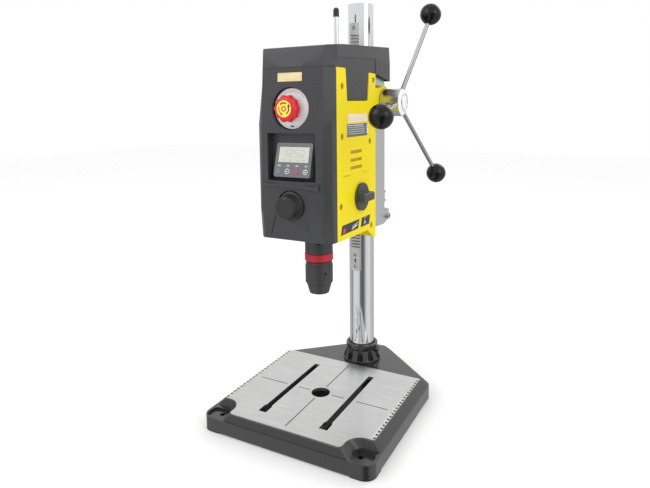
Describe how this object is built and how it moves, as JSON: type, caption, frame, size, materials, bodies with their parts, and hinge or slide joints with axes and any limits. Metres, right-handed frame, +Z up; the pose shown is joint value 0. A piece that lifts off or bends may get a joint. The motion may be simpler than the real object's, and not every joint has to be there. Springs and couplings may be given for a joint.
{
  "type": "drill press",
  "caption": "Bench drill press with a slotted table, a racked column, a head fed by a spoked handle, and a keyless chuck.",
  "frame": {"origin": "on the spindle axis at the bench plane, at the foot of the bore through the table and base", "axes": "+Z up along the spindle, +X to the operator's right, -Y towards the operator"},
  "size_m": [0.332, 0.4148, 0.777],
  "materials": {
    "black_casting": "gloss",
    "table_aluminium": "ground",
    "scale_print": "printed",
    "chrome_tube": "mirror",
    "rack_steel": "satin",
    "grey_housing": "fine texture",
    "yellow_cover": "semi-gloss",
    "cast_aluminium": "as cast",
    "screw_steel": "zinc",
    "black_knob": "polished",
    "black_plastic": "satin",
    "stop_red": "gloss",
    "dial_white": "gloss",
    "gold_plate": "satin",
    "dark_label": "printed",
    "bezel_grey": "gloss",
    "screen_glass": "clear",
    "circuit_green": "solder mask",
    "gear_steel": "hobbed",
    "chuck_black": "satin",
    "chuck_red": "satin",
    "motor_steel": "rolled",
    "cap_white": "gloss",
    "black_rubber": "matt"
  },
  "bodies": {
    "stand": {"base_casting": "black_casting", "rubber_feet": "black_rubber", "table_plate": "table_aluminium", "table_scales": "scale_print", "plate_screws": "screw_steel", "column_socket": "black_casting", "socket_screw": "screw_steel", "column_tube": "chrome_tube", "column_rack": "rack_steel", "rack_screws": "screw_steel"},
    "head": {"front_cover": "grey_housing", "top_cap": "grey_housing", "side_cover_right": "yellow_cover", "side_cover_left": "yellow_cover", "cover_screws": "screw_steel", "bottom_cover": "grey_housing", "name_plate": "gold_plate", "side_labels": "dark_label", "head_carrier": "cast_aluminium", "clamp_bolt": "screw_steel", "spindle_bearings": "gear_steel", "gearbox_housing": "cast_aluminium", "gearbox_plate": "cast_aluminium", "motor_housing": "motor_steel", "dial_plate": "dial_white", "stop_switch": "black_plastic", "display_bezel": "bezel_grey", "display_window": "screen_glass", "display_board": "circuit_green", "speed_potentiometer": "motor_steel", "cable_gland": "black_rubber"},
    "rod": {"depth_rod": "chrome_tube", "depth_rod_cap": "black_plastic"},
    "rod_lock": {"rod_lock_screw": "black_plastic"},
    "feed": {"feed_shaft": "gear_steel", "shaft_ring": "gear_steel", "feed_hub": "chrome_tube", "hub_cap": "cap_white", "feed_spokes": "chrome_tube", "ball_knobs": "black_knob"},
    "spindle": {"spindle": "gear_steel", "spindle_gear": "gear_steel", "chuck_body": "chuck_black", "chuck_ring": "chuck_red"},
    "sleeve": {"chuck_sleeve": "chuck_black"},
    "jaw_1": {"chuck_jaw_1": "gear_steel"},
    "jaw_2": {"chuck_jaw_2": "gear_steel"},
    "jaw_3": {"chuck_jaw_3": "gear_steel"},
    "layshaft": {"layshaft": "gear_steel"},
    "armature": {"armature": "motor_steel", "motor_fan": "black_plastic"},
    "stop_stem": {"stop_stem": "black_plastic"},
    "stop_button": {"stop_button": "stop_red"},
    "speed_knob": {"speed_knob": "black_plastic"},
    "selector": {"gear_selector": "black_plastic", "selector_shaft": "gear_steel"},
    "key_1": {"display_key_1": "bezel_grey"},
    "key_2": {"display_key_2": "bezel_grey"},
    "key_3": {"display_key_3": "bezel_grey"},
    "key_4": {"display_key_4": "bezel_grey"}
  },
  "joints": [
    {"name": "head_feed", "type": "slide", "parent": "stand", "child": "head", "axis": [0, 0, 1], "range_m": [-0.19, 0.11]},
    {"name": "feed_turn", "type": "hinge", "parent": "head", "child": "feed", "pos_m": [0.098, 0.14, 0.58], "axis": [1, 0, 0], "range_deg": [-400, 690]},
    {"name": "spindle_spin", "type": "hinge", "parent": "head", "child": "spindle", "pos_m": [0, 0, 0.345], "axis": [0, 0, 1], "continuous": true},
    {"name": "sleeve_turn", "type": "hinge", "parent": "spindle", "child": "sleeve", "pos_m": [0, 0, 0.26], "axis": [0, 0, 1], "range_deg": [0, 540]},
    {"name": "layshaft_spin", "type": "hinge", "parent": "head", "child": "layshaft", "pos_m": [0.0193, 0.03503, 0.4], "axis": [0, 0, 1], "continuous": true},
    {"name": "armature_spin", "type": "hinge", "parent": "head", "child": "armature", "pos_m": [0, 0.058, 0.5], "axis": [0, 0, 1], "continuous": true},
    {"name": "stop_press", "type": "slide", "parent": "head", "child": "stop_stem", "axis": [0, 1, 0], "range_m": [0, 0.004]},
    {"name": "stop_twist", "type": "hinge", "parent": "stop_stem", "child": "stop_button", "pos_m": [0, -0.1, 0.57], "axis": [0, -1, 0], "range_deg": [0, 30], "stiffness_Nm_per_rad": 0.05},
    {"name": "speed_turn", "type": "hinge", "parent": "head", "child": "speed_knob", "pos_m": [0, -0.1, 0.41], "axis": [0, -1, 0], "range_deg": [0, 270]},
    {"name": "selector_turn", "type": "hinge", "parent": "head", "child": "selector", "pos_m": [0.0709, 0.0294, 0.4125], "axis": [1, 0, 0], "range_deg": [0, 90]},
    {"name": "rod_slide", "type": "slide", "parent": "head", "child": "rod", "axis": [0, 0, 1], "range_m": [-0.055, 0.03]},
    {"name": "rod_lock_turn", "type": "hinge", "parent": "head", "child": "rod_lock", "pos_m": [-0.05, 0.116, 0.6], "axis": [1, 0, 0], "range_deg": [0, 180]},
    {"name": "jaw_1_slide", "type": "slide", "parent": "spindle", "child": "jaw_1", "axis": [-0.309, 0, -0.9511], "range_m": [0, 0.0142]},
    {"name": "jaw_2_slide", "type": "slide", "parent": "spindle", "child": "jaw_2", "axis": [0.1545, -0.2676, -0.9511], "range_m": [0, 0.0142]},
    {"name": "jaw_3_slide", "type": "slide", "parent": "spindle", "child": "jaw_3", "axis": [0.1545, 0.2676, -0.9511], "range_m": [0, 0.0142]},
    {"name": "key_1_press", "type": "slide", "parent": "head", "child": "key_1", "axis": [0, 0.9659, -0.2588], "range_m": [0, 0.0008], "stiffness_N_per_m": 200},
    {"name": "key_2_press", "type": "slide", "parent": "head", "child": "key_2", "axis": [0, 0.9659, -0.2588], "range_m": [0, 0.0008], "stiffness_N_per_m": 200},
    {"name": "key_3_press", "type": "slide", "parent": "head", "child": "key_3", "axis": [0, 0.9659, -0.2588], "range_m": [0, 0.0008], "stiffness_N_per_m": 200},
    {"name": "key_4_press", "type": "slide", "parent": "head", "child": "key_4", "axis": [0, 0.9659, -0.2588], "range_m": [0, 0.0008], "stiffness_N_per_m": 200}
  ],
  "couplings": [
    {"joint": "feed_turn", "follows": "head_feed", "rad_per_m": -62.5},
    {"joint": "layshaft_spin", "follows": "spindle_spin", "ratio": -3},
    {"joint": "armature_spin", "follows": "spindle_spin", "ratio": 12},
    {"joint": "jaw_1_slide", "follows": "sleeve_turn", "m_per_rad": 0.0014854},
    {"joint": "jaw_2_slide", "follows": "sleeve_turn", "m_per_rad": 0.0014854},
    {"joint": "jaw_3_slide", "follows": "sleeve_turn", "m_per_rad": 0.0014854}
  ]
}
